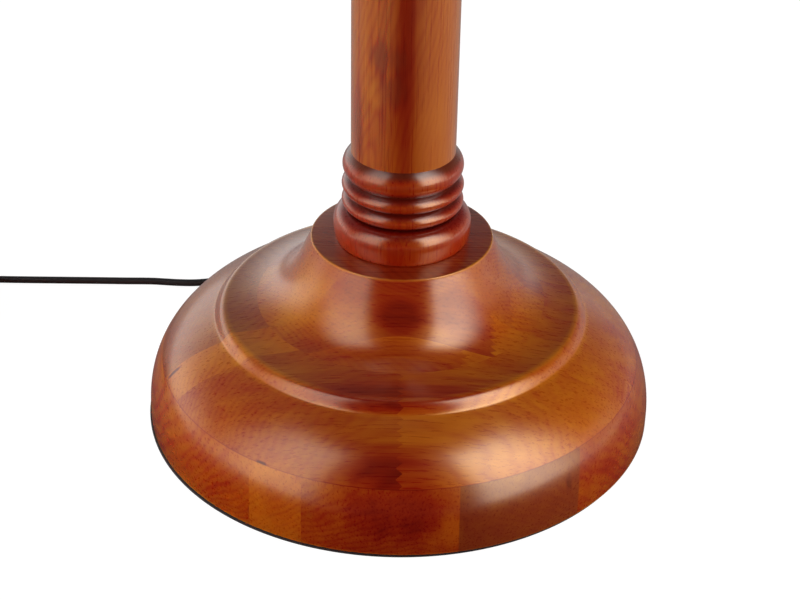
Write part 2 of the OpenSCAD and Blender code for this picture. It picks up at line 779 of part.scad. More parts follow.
// Gland in the base's back wall with its tapered strain relief
module cord_gland() {
    flange_t = 2;
    color(black) translate([0, 0, exit_z]) rotate([-90, 0, 0]) difference() {
        union() {
            translate([0, 0, recess_r - 3])
                cylinder(r = gland_hole_r - 0.05, h = spot_y - recess_r + 4, $fn = 48);
            translate([0, 0, spot_y]) cylinder(r = spot_r - 0.3, h = flange_t, $fn = 48);
            translate([0, 0, spot_y + flange_t])
                cylinder(r1 = 5, r2 = 3.3, h = tip_y - spot_y - flange_t, $fn = 48);
        }
        translate([0, 0, recess_r - 5])
            cylinder(r = cord_r + 0.05, h = tip_y - recess_r + 6, $fn = 48);
    }
}

// Round tube swept along a list of points, with closed ends
module swept(points, radius, sides = 10) {
    n = len(points);
    function along(i) = let (d = points[min(i + 1, n - 1)] - points[max(i - 1, 0)]) d / norm(d);
    function side(i) = let (s = cross(along(i), [0, 0, 1])) s / norm(s);
    rings = [for (i = [0:n - 1]) let (s = side(i), u = cross(s, along(i)))
        for (k = [0:sides - 1]) let (a = 360 * (k + 0.5) / sides)
            points[i] + radius * (s * cos(a) + u * sin(a))];
    walls = [for (i = [0:n - 2]) for (k = [0:sides - 1]) let (j = (k + 1) % sides)
        [i * sides + k, i * sides + j, (i + 1) * sides + j, (i + 1) * sides + k]];
    polyhedron(rings, concat(walls, [[for (k = [0:sides - 1]) sides - 1 - k]],
        [[for (k = [0:sides - 1]) (n - 1) * sides + k]]), convexity = 4);
}

module cord() {
    color(black) swept(cord_route, cord_r);
}

module cord_tail() {
    color(black) swept(tail_route, cord_r);
}

// Outer shape of the stored turns
module cord_coil() {
    color(black) translate([coil_x, coil_y, coil_z]) rotate_extrude($fn = smooth)
        translate([coil_in_r, 0]) square([coil_out_r - coil_in_r, coil_top_z - coil_z]);
}

// Strap round the coil's turns, on the side away from the lamp's front
module coil_tie() {
    strap_t = 0.7;
    strap_w = 9;
    gap = 0.1;
    half_w = coil_columns * cord_r + 0.5;
    color([0.1, 0.1, 0.1]) translate([coil_x, coil_y, 0]) rotate([0, 0, -90])
        translate([coil_mid_r, 0, 0]) rotate([90, 0, 0]) linear_extrude(strap_w, center = true)
            difference() {
                translate([-half_w - strap_t, coil_z - gap - strap_t])
                    square([2 * (half_w + strap_t), coil_top_z - coil_z + 2 * (gap + strap_t)]);
                translate([-half_w, coil_z - gap])
                    square([2 * half_w, coil_top_z - coil_z + 2 * gap]);
            }
}

// Flat two-pin plug lying on its broad side
module plug_body() {
    head_w = 35;
    head_t = 13.7;
    head_l = 10;
    relief_l = 24;
    color(black) translate([plug_x, plug_rear_y, plug_z]) rotate([90, 0, 0]) difference() {
        union() {
            translate([0, 0, -relief_l])
                cylinder(r1 = 3.4, r2 = 4.8, h = relief_l + 1, $fn = 32);
            hull() {
                for (side = [-1, 1]) translate([side * 3, 0, 0])
                    cylinder(r = 5, h = 1, $fn = 32);
                for (side = [-1, 1])
                    translate([side * (head_w - head_t) / 2, 0, plug_body_l - head_l])
                        cylinder(d = head_t, h = head_l, $fn = 32);
            }
        }
        translate([0, 0, -relief_l - 1]) cylinder(r = cord_r + 0.05, h = 12, $fn = 32);
        for (side = [-1, 1]) translate([side * pin_x, 0, plug_body_l - pin_root_l - 0.5])
            cylinder(r = pin_root_r + 0.03, h = pin_root_l + 2, $fn = 32);
    }
}

module plug_pins() {
    color(steel) for (side = [-1, 1])
        translate([plug_x + side * pin_x, plug_rear_y - plug_body_l, plug_z])
            rotate([90, 0, 0]) {
                translate([0, 0, -pin_root_l])
                    cylinder(r = pin_root_r, h = pin_root_l + 1, $fn = 32);
                cylinder(r = pin_r, h = pin_l - pin_tip_l, $fn = 32);
                translate([0, 0, pin_l - pin_tip_l])
                    cylinder(r1 = pin_r, r2 = 1.2, h = pin_tip_l, $fn = 32);
            }
}

base_pad();
base_cover();
cover_screws();
ballast_plate();
ballast_screws();
base_lower_layer();
base_middle_layer();
base_top_layer();
bottom_washer();
bottom_nut();
lamp_tube();
foot_collar();
lower_column();
joint_ring();
upper_column();
top_collar();
drip_pan();
candle_cup();
cup_cap();
lock_nut();
harp_saddle();
harp_ferrules();
harp();
finial();
holder_cap();
switch_body();
switch_contacts();
holder_liner();
screw_shell();
holder_shell();
switch_knob();
bulb_base();
bulb_glass();
inner_cable();
cord_gland();
shade_spider();
shade_bottom_ring();
shade_cloth();
shade_top_tape();
shade_bottom_tape();
cord();
cord_coil();
cord_tail();
coil_tie();
plug_body();
plug_pins();
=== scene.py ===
"""Candlestick floor lamp: materials, smooth turnings, cloth, cord, light and camera round the
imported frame. Metres, floor at z = 0, the column's axis is Z and the cord leaves at +Y. Sizes
and places on the lamp are named in mm and turned into metres with MM."""
import json
import math

import bpy
import numpy as np
from mathutils import Euler, Matrix, Vector


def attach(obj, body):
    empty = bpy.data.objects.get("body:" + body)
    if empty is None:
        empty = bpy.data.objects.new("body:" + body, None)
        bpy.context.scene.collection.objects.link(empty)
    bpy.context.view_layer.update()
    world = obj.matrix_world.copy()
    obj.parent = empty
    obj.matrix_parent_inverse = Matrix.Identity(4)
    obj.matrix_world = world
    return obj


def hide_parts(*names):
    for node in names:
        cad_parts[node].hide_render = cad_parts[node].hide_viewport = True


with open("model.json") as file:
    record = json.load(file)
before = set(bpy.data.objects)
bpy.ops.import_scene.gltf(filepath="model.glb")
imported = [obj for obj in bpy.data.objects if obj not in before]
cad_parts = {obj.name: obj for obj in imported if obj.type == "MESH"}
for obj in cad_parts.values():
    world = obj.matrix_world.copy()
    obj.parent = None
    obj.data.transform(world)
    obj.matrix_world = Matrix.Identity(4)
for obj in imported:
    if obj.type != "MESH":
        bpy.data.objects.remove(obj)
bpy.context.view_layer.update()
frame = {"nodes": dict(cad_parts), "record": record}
nodes = frame["nodes"]
MM = 0.001
scene = bpy.context.scene


def clamp(t):
    return min(max(t, 0), 1)


# ---- camera -------------------------------------------------------------------------------

# Fitted to the base's rim, the column's edges and the cord in the photograph, in radians and m
PITCH, YAW, ROLL = 0.552080, -0.000380, 0.019042
CAMERA_PLACE = (0, -0.9547, 0.6646)


def make_camera():
    forward = Vector((math.sin(YAW) * math.cos(PITCH), math.cos(YAW) * math.cos(PITCH),
                      -math.sin(PITCH)))
    right = forward.cross(Vector((0, 0, 1))).normalized()
    up = right.cross(forward)
    x_axis = math.cos(ROLL) * right + math.sin(ROLL) * up
    y_axis = math.cos(ROLL) * up - math.sin(ROLL) * right
    data = bpy.data.cameras.new("camera")
    data.lens, data.sensor_width = 80, 36
    data.clip_start, data.clip_end = 0.05, 60
    cam = bpy.data.objects.new("camera", data)
    scene.collection.objects.link(cam)
    turn = Matrix((x_axis, y_axis, -forward)).transposed().to_4x4()
    cam.matrix_world = Matrix.Translation(CAMERA_PLACE) @ turn
    scene.camera = cam


make_camera()


# ---- cord ---------------------------------------------------------------------------------

CORD_D = 5 * MM
CORD_R = CORD_D / 2
COIL_X, COIL_Y = -324, 107              # the middle of the stored coil
# Radius and height of each track of the coil, in the order in which the cord was wound
COIL_TRACKS = [(31, 3.3), (26, 3.3), (26, 8.3), (31, 8.3), (31, 13.3), (26, 13.3), (26, 18.3),
               (31, 18.3)]
TRACK_TURN, CHANGE_TURN = 333, 90       # degrees of a track, and of the changeover at its end
COIL_END = 90                           # degrees that the last track goes beyond whole turns
COIL_STEPS = 36                         # points on a whole turn
# From the gland round behind the base and along the floor to the coil
ROUTE = [(0, 183, 12), (0, 190, 11.8), (0, 198, 10.5), (-1, 206, 8), (-4, 214, 5),
         (-9, 221, 3), (-17, 227, 2.5), (-27, 230, 2.5), (-38, 229, 2.5), (-50, 224, 2.5),
         (-62, 215, 2.5), (-75, 202, 2.5), (-88, 186, 2.5), (-100, 171, 2.5),
         (-112, 157, 2.5), (-124, 147, 2.5), (-136, 141, 2.5), (-148, 138.5, 2.5),
         (-160, 138.3, 2.5), (-170, 139, 2.5), (-180, 139.6, 2.5), (-198, 139.2, 2.5),
         (-216, 139, 2.5), (-240, 138.6, 2.5), (-265, 138.2, 2.5), (-290, 138, 2.5),
         (-306, 138, 2.9), (-318, 138, 3.3)]
# From the top of the coil down to the plug
PLUG_X = COIL_X - COIL_TRACKS[-1][0]
TAIL = [(PLUG_X, 97, 18.3), (PLUG_X, 90, 17.9), (PLUG_X, 82, 16.4), (PLUG_X, 74, 13.8),
        (PLUG_X, 66, 10.8), (PLUG_X, 58, 8.4), (PLUG_X, 50, 7.2), (PLUG_X, 42, 6.9)]


def smooth_step(t):
    t = clamp(t)
    return t * t * (3 - 2 * t)


def on_coil(angle, r, z):
    turn = math.radians(90 + angle)
    return COIL_X + r * math.cos(turn), COIL_Y + r * math.sin(turn), z


def coil_points():
    """The stored turns: each track is nearly a turn, and the cord changes over to the next
    a little earlier each time, so that no changeover lies on another."""
    last = len(COIL_TRACKS) - 1
    total = 360 * last + COIL_END
    steps = total * COIL_STEPS // 360
    points = []
    for i in range(1, steps + 1):
        angle = total * i / steps
        track = 0 if angle < 360 else min(1 + int((angle - 360) // TRACK_TURN), last)
        change_start = 360 + TRACK_TURN * track - CHANGE_TURN
        t = smooth_step((angle - change_start) / CHANGE_TURN) if track < last else 0
        here, there = COIL_TRACKS[track], COIL_TRACKS[min(track + 1, last)]
        points.append(on_coil(angle, *(h + (n - h) * t for h, n in zip(here, there))))
    return points


def smooth_line(points, cuts):
    """A smooth line through the points, with cuts steps from each to the next."""
    p = np.array(points, float)
    ends = np.vstack([2 * p[0] - p[1], p, 2 * p[-1] - p[-2]])
    out = []
    for i in range(1, len(ends) - 2):
        a, b, c, d = ends[i - 1:i + 3]
        for t in np.arange(cuts) / cuts:
            out.append(0.5 * (2 * b + (c - a) * t + (2 * a - 5 * b + 4 * c - d) * t * t
                              + (3 * b - a - 3 * c + d) * t ** 3))
    out.append(p[-1])
    return np.array(out)


def make_cord():
    """The whole cord as one tube, and its length."""
    line = smooth_line(ROUTE + [on_coil(0, *COIL_TRACKS[0])] + coil_points() + TAIL, 3) * MM
    data = bpy.data.curves.new("mains_cord", "CURVE")
    data.dimensions = "3D"
    spline = data.splines.new("POLY")
    spline.points.add(len(line) - 1)
    for point, co in zip(spline.points, line):
        point.co = (*co, 1)
    data.bevel_depth, data.bevel_resolution, data.use_fill_caps = CORD_R, 5, True
    obj = bpy.data.objects.new("mains_cord", data)
    scene.collection.objects.link(obj)
    length = float(np.linalg.norm(np.diff(line, axis=0), axis=1).sum())
    return obj, length


mains_cord, cord_length = make_cord()


# ---- outlines and meshes ------------------------------------------------------------------

def curve(a, b, c, d, n=24):
    """A cubic curve from a to d that leaves towards b and arrives from c, in n steps."""
    t = np.linspace(0, 1, n + 1)[:, None]
    a, b, c, d = (np.array(p, float) for p in (a, b, c, d))
    line = (1 - t) ** 3 * a + 3 * t * (1 - t) ** 2 * b + 3 * t * t * (1 - t) * c + t ** 3 * d
    return [tuple(p) for p in line]


def bead(r0, r1, h, z0, z1, n=16):
    """A round bead from radius r0 at z0 to r1 at z1 that stands h proud in the middle."""
    t = np.linspace(0, 1, n + 1)
    return list(zip(r0 + (r1 - r0) * t + 4 * h * t * (1 - t), z0 + (z1 - z0) * t))


def arc(centre, a, b, a0, a1, n=12):
    """Part of an ellipse with half axes a and b, from a0 to a1 degrees."""
    t = np.radians(np.linspace(a0, a1, n + 1))
    return list(zip(centre[0] + a * np.cos(t), centre[1] + b * np.sin(t)))


def cleaned(line):
    """The closed line without points that fall on the one before."""
    out = [line[0]]
    for p in line[1:]:
        if math.dist(p, out[-1]) > 1e-4:
            out.append(p)
    return out[:-1] if math.dist(out[0], out[-1]) < 1e-4 else out


def at_height(line, z):
    """The radius at which a rising line passes z."""
    for p, q in zip(line, line[1:]):
        if p[1] <= z <= q[1]:
            return p[0] + (q[0] - p[0]) * (z - p[1]) / max(q[1] - p[1], 1e-9)


def mesh_object(name, verts, faces, uvs, body, material, stands_for):
    mesh = bpy.data.meshes.new(name)
    mesh.from_pydata([tuple(v) for v in verts], [], faces)
    layer = mesh.uv_layers.new(name="uv")
    for loop, uv in zip(layer.data, uvs):
        loop.uv = uv
    mesh.update()
    mesh.shade_smooth()
    mesh.set_sharp_from_angle(angle=math.radians(35))
    for m in (material if isinstance(material, (list, tuple)) else [material]):
        mesh.materials.append(m)
    obj = bpy.data.objects.new(name, mesh)
    scene.collection.objects.link(obj)
    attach(obj, body)
    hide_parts(*stands_for)
    return obj


def turned(name, outline, material, stands_for, slot, body="lamp", base=0, segments=256,
           shift=(0, 0), flip=False):
    """A closed outline of (radius, height) in mm, turned about Z. Its UVs are metres round and
    along the outline."""
    line = cleaned(outline)
    if flip:
        line = [(r, -z) for r, z in line][::-1]
    area = sum(p[0] * q[1] - q[0] * p[1] for p, q in zip(line, line[1:] + line[:1]))
    if area < 0:
        line = line[::-1]
    n = len(line)
    angles = np.linspace(0, 2 * math.pi, segments, endpoint=False)
    verts = [((r * math.cos(a) + shift[0]) * MM, (r * math.sin(a) + shift[1]) * MM,
              (z + base) * MM) for a in angles for r, z in line]
    run = np.concatenate([[0], np.cumsum([math.dist(p, q) for p, q in
                                          zip(line, line[1:] + line[:1])])]) * MM
    girth = 2 * math.pi * max(r for r, _ in line) * MM
    faces, uvs = [], []
    for i in range(segments):
        j = (i + 1) % segments
        u0, u1 = i / segments * girth, (i + 1) / segments * girth
        for k in range(n):
            m = (k + 1) % n
            faces.append((i * n + k, j * n + k, j * n + m, i * n + m))
            uvs += [(u0, run[k]), (u1, run[k]), (u1, run[k + 1]), (u0, run[k + 1])]
    return mesh_object(name, verts, faces, uvs, body, material, stands_for)


# ---- material graphs ----------------------------------------------------------------------

class Graph:
    """Builds the node tree of a material or of the world. Most methods add a node from sockets
    or plain values and give its output."""

    def __init__(self, name, owner=None):
        self.mat = owner or bpy.data.materials.new(name)
        self.mat.use_nodes = True
        self.tree = self.mat.node_tree
        self.bsdf = self.tree.nodes.get("Principled BSDF")

    def plug(self, socket, value):
        if isinstance(value, bpy.types.NodeSocket):
            self.tree.links.new(value, socket)
        else:
            socket.default_value = value

    def node(self, kind, inputs=None, **props):
        n = self.tree.nodes.new("ShaderNode" + kind)
        for key, value in props.items():
            setattr(n, key, value)
        for key, value in (inputs or {}).items():
            self.plug(n.inputs[key], value)
        return n

    def math(self, op, a, b=0.0, c=0.0):
        return self.node("Math", {0: a, 1: b, 2: c}, operation=op).outputs[0]

    def add(self, a, b):
        return self.math("ADD", a, b)

    def less(self, a, b):
        return self.math("SUBTRACT", a, b)

    def times(self, first, *others):
        for other in others:
            first = self.math("MULTIPLY", first, other)
        return first

    def scaled(self, value, factor, plus):
        return self.math("MULTIPLY_ADD", value, factor, plus)

    def larger(self, a, b):
        return self.math("MAXIMUM", a, b)

    def vec(self, op, a, b=(0, 0, 0)):
        n = self.node("VectorMath", {0: a, 1: b}, operation=op)
        return n.outputs["Value" if op in ("LENGTH", "DOT_PRODUCT") else "Vector"]

    def coords(self, kind="Object", turn=(0, 0, 0)):
        out = self.node("TexCoord").outputs[kind]
        return self.node("Mapping", {"Vector": out, "Rotation": [math.radians(a) for a in turn]}
                         ).outputs["Vector"]

    def split(self, vector):
        return self.node("SeparateXYZ", {0: vector}).outputs

    def join(self, x, y, z):
        return self.node("CombineXYZ", {0: x, 1: y, 2: z}).outputs[0]

    def noise(self, vector, scale, detail=2.0, rough=0.5, distortion=0.0):
        return self.node("TexNoise", {"Vector": vector, "Scale": scale, "Detail": detail,
                                      "Roughness": rough, "Distortion": distortion}
                         ).outputs["Fac"]

    def drawn(self, vector, scales, detail, rough=0.5, distortion=0.0):
        """Noise with its own scale along each axis."""
        return self.noise(self.vec("MULTIPLY", vector, scales), 1.0, detail, rough, distortion)

    def remap(self, value, lo, hi, to_lo=0.0, to_hi=1.0, kind="SMOOTHSTEP"):
        """From to_lo where the value is lo or less to to_hi where it is hi or more."""
        return self.node("MapRange", {"Value": value, "From Min": lo, "From Max": hi,
                                      "To Min": to_lo, "To Max": to_hi},
                         interpolation_type=kind).outputs["Result"]

    def ramp(self, value, stops, kind="LINEAR"):
        n = self.node("ValToRGB", {0: value})
        n.color_ramp.interpolation = kind
        marks = n.color_ramp.elements
        while len(marks) > 1:
            marks.remove(marks[-1])
        for _ in stops[1:]:
            marks.new(1.0)
        for mark, (at, colour) in zip(marks, stops):
            mark.position, mark.color = at, (*colour, 1)
        return n.outputs[0]

    def mix(self, factor, a, b, blend="MIX"):
        n = self.node("Mix", data_type="RGBA", blend_type=blend)
        for i, value in ((0, factor), (6, a), (7, b)):
            if isinstance(value, (tuple, list)):
                value = (*value, 1)
            self.plug(n.inputs[i], value)
        return n.outputs[2]

    def pick(self, factor, a, b):
        """The number a where the factor is 0 and b where it is 1."""
        return self.node("Mix", {0: factor, 2: a, 3: b}, data_type="FLOAT").outputs[0]

    def bump(self, height, strength, distance):
        return self.node("Bump", {"Height": height, "Strength": strength,
                                  "Distance": distance}).outputs[0]

    def finish(self, **inputs):
        """Plugs the surface's inputs, named in small letters, and gives the material."""
        for key, value in inputs.items():
            key = key.replace("_", " ").title().replace("Ior", "IOR")
            if isinstance(value, (tuple, list)) and len(value) == 3:
                value = (*value, 1)
            self.plug(self.bsdf.inputs[key], value)
        return self.mat


# ---- stained wood -------------------------------------------------------------------------

# Linear colours by level, from where the stain is strongest to where it is thinnest
STAIN = [(0.10, (0.08, 0.002, 0.0003)), (0.32, (0.20, 0.005, 0.0004)),
         (0.46, (0.28, 0.017, 0.0006)), (0.64, (0.39, 0.088, 0.0018)),
         (0.88, (0.52, 0.18, 0.005))]
DEEP_RED = (0.6, 0.2, 0.3)              # end grain is the stain's colour times this
DULL_BROWN = (0.15, 0.046, 0.013)       # what a wholly dull piece goes towards
MIDDLE = 0.56                           # the level of a piece with no tone of its own
PATCHES, FIBRES, PORES, GROOVE_SHADE = 0.42, 0.26, -0.03, -0.35    # what each adds to the level
RAGGED = 3.0                            # how far the streaks pull a smudge's edge about
FINGER, FINGER_SLOPE = 2.2, 1.8         # half a joint finger's width, its length over that
TONE_SHIFT = 0.5                        # keeps the tones above 0 in a ramp's colours


class Wood(Graph):
    """Turned wood with its own axes in metres: u along the fibres, v across the strips and w
    through them."""

    def __init__(self, name, seed, turn, reach):
        super().__init__(name)
        self.seed, self.reach = seed, reach
        self.grain = self.coords(turn=turn)
        self.u, self.v, self.w = self.split(self.grain)
        self.fibre = (Euler([math.radians(a) for a in turn]).to_matrix().inverted()
                      @ Vector((1, 0, 0)))
        place = self.node("TexCoord").outputs
        self.here, self.normal = place["Object"], place["Normal"]

    def by_strip(self, strips, look):
        """The three numbers of look for the strip that a point is on."""
        across = self.remap(self.v, -self.reach * MM, self.reach * MM, kind="LINEAR")
        stops = [(clamp((strip[0] / self.reach + 1) / 2), look(*strip)) for strip in strips]
        return self.ramp(across, stops, "CONSTANT")

    def chance(self, start, k):
        return math.sin(start * 12.9898 + k * 78.233 + self.seed) * 0.5 + 0.5

    def pieces(self, strips):
        """The level and dullness of the piece that a point is on, and two numbers by chance. A
        strip has two pieces, with fingers where they are joined."""
        joint, chance, chance_deep = self.split(self.by_strip(
            strips, lambda start, at, fore, aft: (clamp(at / self.reach / 2 + 0.5),
                                                  self.chance(start, 1), self.chance(start, 2))))
        joint = self.times(self.less(joint, 0.5), 2 * self.reach * MM)
        fingers = self.times(self.math("PINGPONG", self.v, FINGER * MM), FINGER_SLOPE)
        beyond = self.math("GREATER_THAN", self.add(self.u, fingers), joint)
        tone, dull, _ = self.split(self.mix(
            beyond,
            self.by_strip(strips, lambda start, at, fore, aft: (fore[0] + TONE_SHIFT, fore[1], 0)),
            self.by_strip(strips, lambda start, at, fore, aft: (aft[0] + TONE_SHIFT, aft[1], 0))))
        chance = self.math("FRACT", self.scaled(beyond, 0.37, chance))
        return self.add(tone, MIDDLE - TONE_SHIFT), dull, chance, chance_deep

    def growth_rings(self, rings, pith, lean, chance, chance_deep):
        """Wavy rings about each piece's own pith, weaker in some places."""
        spread, depth = 0.3 * self.reach * MM, 0.12 * self.reach * MM
        side = self.add(self.v, self.scaled(self.less(chance, 0.5), spread, pith[0] * MM))
        deep = self.add(self.scaled(self.u, lean, self.w),
                        self.scaled(chance_deep, depth, pith[1] * MM))
        waver = self.times(self.drawn(self.grain, (6, 30, 30), 3), 5.0)
        phase = self.add(self.math("DIVIDE", self.vec("LENGTH", self.join(side, deep, 0.0)),
                                   rings * MM), waver)
        wave = self.math("SINE", self.times(phase, 2 * math.pi))
        clear = self.remap(self.drawn(self.grain, (9, 25, 25), 2), 0.38, 0.66, 0.25, 1.0)
        return self.times(self.math("POWER", self.scaled(wave, 0.5, 0.5), 2.0), clear)

    def distance(self, centre, radii):
        """From the centre, as a share of the radii."""
        return self.vec("LENGTH", self.vec("DIVIDE", self.vec(
            "SUBTRACT", self.here, [c * MM for c in centre]), [r * MM for r in radii]))

    def end_grain(self):
        """1 where the surface cuts across the fibres."""
        cut = self.vec("DOT_PRODUCT", self.vec("NORMALIZE", self.normal), self.fibre)
        return self.remap(self.math("ABSOLUTE", cut), 0.45, 0.9)


def wood(name, seed, turn, strips, reach=160, rings=4.0, pith=(0, 45), lean=0.0, figure=0.10,
         streaks=0.34, thirst=1.0, spots=(), highlit_edges=(), groove=None):
    """Stained and lacquered wood with its fibres along the local X axis after turn. Each strip
    is (start across the fibres, the joint's place along them, (tone, dullness) of the piece
    before the joint, the same behind it), all in mm and within reach of the axis. pith is where
    the growth rings' axis lies, rings their distance, figure their strength, and lean how much
    that axis slants. streaks is the strength of the long streaks, and thirst how much more
    stain the end grain takes. A spot is (centre, radii, change of tone), with a dullness at the
    end where it is a ragged smudge; some spots are marks in the wood, others painted shade and
    painted light on the front. A highlit edge is (radius, height, width, change), a painted
    highlight along an arris, and groove gives the radii over which painted shade darkens the
    grooves and a painted grey sheen dulls them."""
    g = Wood(name, seed, turn, reach)
    level, dull, chance, chance_deep = g.pieces(strips)
    ring = g.growth_rings(rings, pith, lean, chance, chance_deep)
    shifted = g.vec("ADD", g.grain, g.join(g.times(chance, 3.0), seed * 0.31, 0.0))
    fine = g.drawn(shifted, (14, 700, 700), 4, 0.65)
    streak = g.drawn(shifted, (4, 110, 110), 3, 0.6)
    pores = g.remap(g.drawn(shifted, (90, 1700, 1700), 2), 0.62, 0.72)
    patch = g.drawn(shifted, (7, 22, 22), 3, 0.55, 0.6)
    for part, weight in ((patch, PATCHES), (streak, streaks), (fine, FIBRES)):
        level = g.scaled(g.less(part, 0.5), weight, level)
    level = g.scaled(ring, -figure, level)
    level = g.scaled(pores, PORES, level)
    for centre, radii, change, *smudge in spots:
        away = g.distance(centre, radii)
        if smudge:
            away = g.scaled(g.less(streak, 0.5), RAGGED, away)
            dull = g.larger(dull, g.remap(away, 0.1, 1.1, smudge[0], 0.0))
        level = g.add(level, g.remap(away, 0.35, 1.0, change, 0.0))
    x, y, z = g.split(g.here)
    radius = g.vec("LENGTH", g.join(x, y, 0.0))
    # Painted highlights: lighter lines along the arrises.
    for edge_r, edge_z, width, change in highlit_edges:
        away = g.vec("LENGTH", g.join(g.less(radius, edge_r * MM), g.less(z, edge_z * MM), 0.0))
        level = g.add(level, g.remap(away, 0.3 * width * MM, width * MM, change, 0.0))
    # Painted shade and a painted grey sheen in the grooves: darker and duller towards their
    # bottoms.
    if groove:
        groove_shade = g.remap(radius, groove[0] * MM, groove[1] * MM, 1.0, 0.0)
        level = g.scaled(groove_shade, GROOVE_SHADE, level)
        dull = g.larger(dull, groove_shade)
    end_grain = g.end_grain()
    colour = g.mix(g.times(dull, 0.8), g.ramp(level, STAIN), DULL_BROWN)
    colour = g.mix(g.times(end_grain, thirst), colour, g.mix(1.0, colour, DEEP_RED, "MULTIPLY"))
    glint = g.times(g.remap(level, 0.2, 0.8, 0.15, 1.0, "LINEAR"),
                    g.scaled(end_grain, -0.75 * thirst, 1.0))
    return g.finish(base_color=colour, roughness=g.remap(fine, 0.3, 0.7, 0.26, 0.34), ior=1.7,
                    specular_ior_level=glint, specular_tint=(1.0, 0.6, 0.07),
                    coat_weight=1.0, coat_roughness=0.2, coat_ior=1.6,
                    normal=g.bump(g.scaled(pores, -0.6, fine), 0.2, 0.00012))


# ---- turned wood --------------------------------------------------------------------------

PAD = 2
SEAM_LOW, SEAM_HIGH, BASE_TOP = 42.5, 81.7, 124.7
RECESS_R, REBATE_R, REBATE_H = 115, 125.5, 3.6
COLUMN_R, TENON_R, TENON_H = 31.6, 18, 32
SPIGOT_R, SPIGOT_H, BORE_R = 22, 8, 5.5
FIT, CLEAR = 0.1, 0.5                   # round a tenon, and below its end
GROOVE_R = 32.5
COLLAR_H, LOWER_H, RING_H, UPPER_H, PAN_H, CUP_H = 58.1, 437, 48, 422, 42, 46
COLUMN_Z = BASE_TOP + COLLAR_H
RING_Z = COLUMN_Z + LOWER_H
UPPER_Z = RING_Z + RING_H
TOP_COLLAR_Z = UPPER_Z + UPPER_H
PAN_Z = TOP_COLLAR_Z + COLLAR_H
PAN_FLOOR = PAN_H - 4
CUP_Z = PAN_Z + PAN_FLOOR

# The base's outside from the pad to its top: rim, dome, step, ledge and sweep
BASE_SIDE = (arc((159.1, PAD + 0.8), 0.8, 0.8, -90, 0, 4)
             + curve((159.9, 9.4), (159.9, 47.7), (132.9, 60.6), (117.2, 70.1), 64)
             + curve((117.2, 70.1), (115.4, 71.6), (114.2, 76.6), (110, 77.2), 20)[1:]
             + curve((110, 77.2), (72, 81.5), (67, 100), (56.2, BASE_TOP - 0.8), 72)[1:]
             + arc((55.4, BASE_TOP - 0.8), 0.8, 0.8, 10, 90, 5))

ALONG_X, ALONG_Y, ALONG_Z = (0, 0, 0), (0, 0, 90), (0, 90, 0)
# One piece all over: its joint lies below the lamp, so the values behind the joint hold
DARK = [(-1000, -1000, (0, 0), (-0.09, 0.15))]
GOLDEN = [(-1000, -1000, (0, 0), (0.12, 0.3))]
# groove: painted shade and a painted grey sheen in the bead grooves
BEADED = dict(reach=60, rings=3, figure=0.03, streaks=0.14, strips=DARK, groove=(32.4, 36.6))
SEAM_LINE = ((0, 0, SEAM_LOW), (400, 400, 0.45), -0.2)


def layer(z0, z1):
    """The part of the base's side between two heights."""
    inside = [p for p in BASE_SIDE if z0 + 0.02 < p[1] < z1 - 0.02]
    return [(at_height(BASE_SIDE, z0), z0)] + inside + [(at_height(BASE_SIDE, z1), z1)]


def bored(line):
    return [(BORE_R, line[0][1])] + list(line) + [(BORE_R, line[-1][1])]


def spigot(radius, depth):
    """The outline's start, for a piece that stands in the one below."""
    return [(BORE_R, -depth), (radius, -depth), (radius, 0)]


def socket(radius, top, depth):
    """The outline's end, for a piece that the next one's spigot stands in."""
    return [(radius + FIT, top), (radius + FIT, top - depth - CLEAR),
            (BORE_R, top - depth - CLEAR)]


def turned_wood(name, outline, material, node, **more):
    turned(name, outline, material, [node], "stained_wood", **more)


def base_lower():
    """Its strips run to the back. The recess below holds the ballast and its cover. The last spot
    is painted shade low on the dome's front, and the edge a painted highlight along the foot.
    """
    turned_wood("wood_base_lower",
                layer(PAD, SEAM_LOW)
                + [(RECESS_R, SEAM_LOW), (RECESS_R, PAD + REBATE_H), (REBATE_R, PAD + REBATE_H),
                   (REBATE_R, PAD)],
                wood("wood_base_lower", 3, ALONG_Y, thirst=0.15, lean=0.15,
                     strips=[(-160, -60, (0.04, 0.2), (0.04, 0)),
                             (-87, -60, (-0.05, 0.2), (0.16, 0)),
                             (-56, -60, (-0.06, 0.1), (0.04, 0.1)),
                             (36, -60, (-0.04, 0.8), (-0.04, 0.8)),
                             (107, -60, (0.05, 0), (0.0, 0.2))],
                     spots=[SEAM_LINE, ((101, -121, 28), (3, 6, 9), -0.25),
                            ((32, -156, 16), (9, 8, 16), 0.14),
                            ((0, -156, 30), (38, 26, 24), -0.2)],
                     highlit_edges=[(159.6, PAD + 0.6, 1.3, 0.2)]),
                "base_lower_layer", segments=384)


def base_middle():
    """Its strips run from side to side. The three spots after the seam are painted shade down the
    front of the ledge and of the dome, and painted light on the dome between them. The last
    three spots are the filled crack and two gaps in the glue. The edges are painted highlights
    along the step."""
    turned_wood("wood_base_middle", bored(layer(SEAM_LOW, SEAM_HIGH)),
                wood("wood_base_middle", 7, ALONG_X, thirst=0.15, rings=2.6, lean=0.12,
                     strips=[(-160, 3, (0.0, 0.1), (0.08, 0)), (-68, 40, (0.18, 0), (0.10, 0)),
                             (-43, -20, (-0.04, 0.5), (0.02, 0)),
                             (20, 20, (-0.03, 0.4), (0.04, 0)),
                             (88, -30, (0.05, 0.1), (-0.02, 0.2))],
                     spots=[SEAM_LINE, ((0, -107, 77), (74, 17, 10), -0.2),
                            ((0, -142, 48), (38, 17, 15), -0.2),
                            ((0, -124, 65), (50, 14, 8), 0.1),
                            ((-139, -45, 49), (8, 1.8, 9), -0.7),
                            ((-81, -132, 43.2), (7, 7, 1.3), -1.0),
                            ((-54, -146, 43.2), (4, 4, 1.2), -1.0)],
                     highlit_edges=[(110.5, 77, 2.4, 0.12), (117.5, 69.8, 2.4, 0.08)]),
                "base_middle_layer", segments=384)


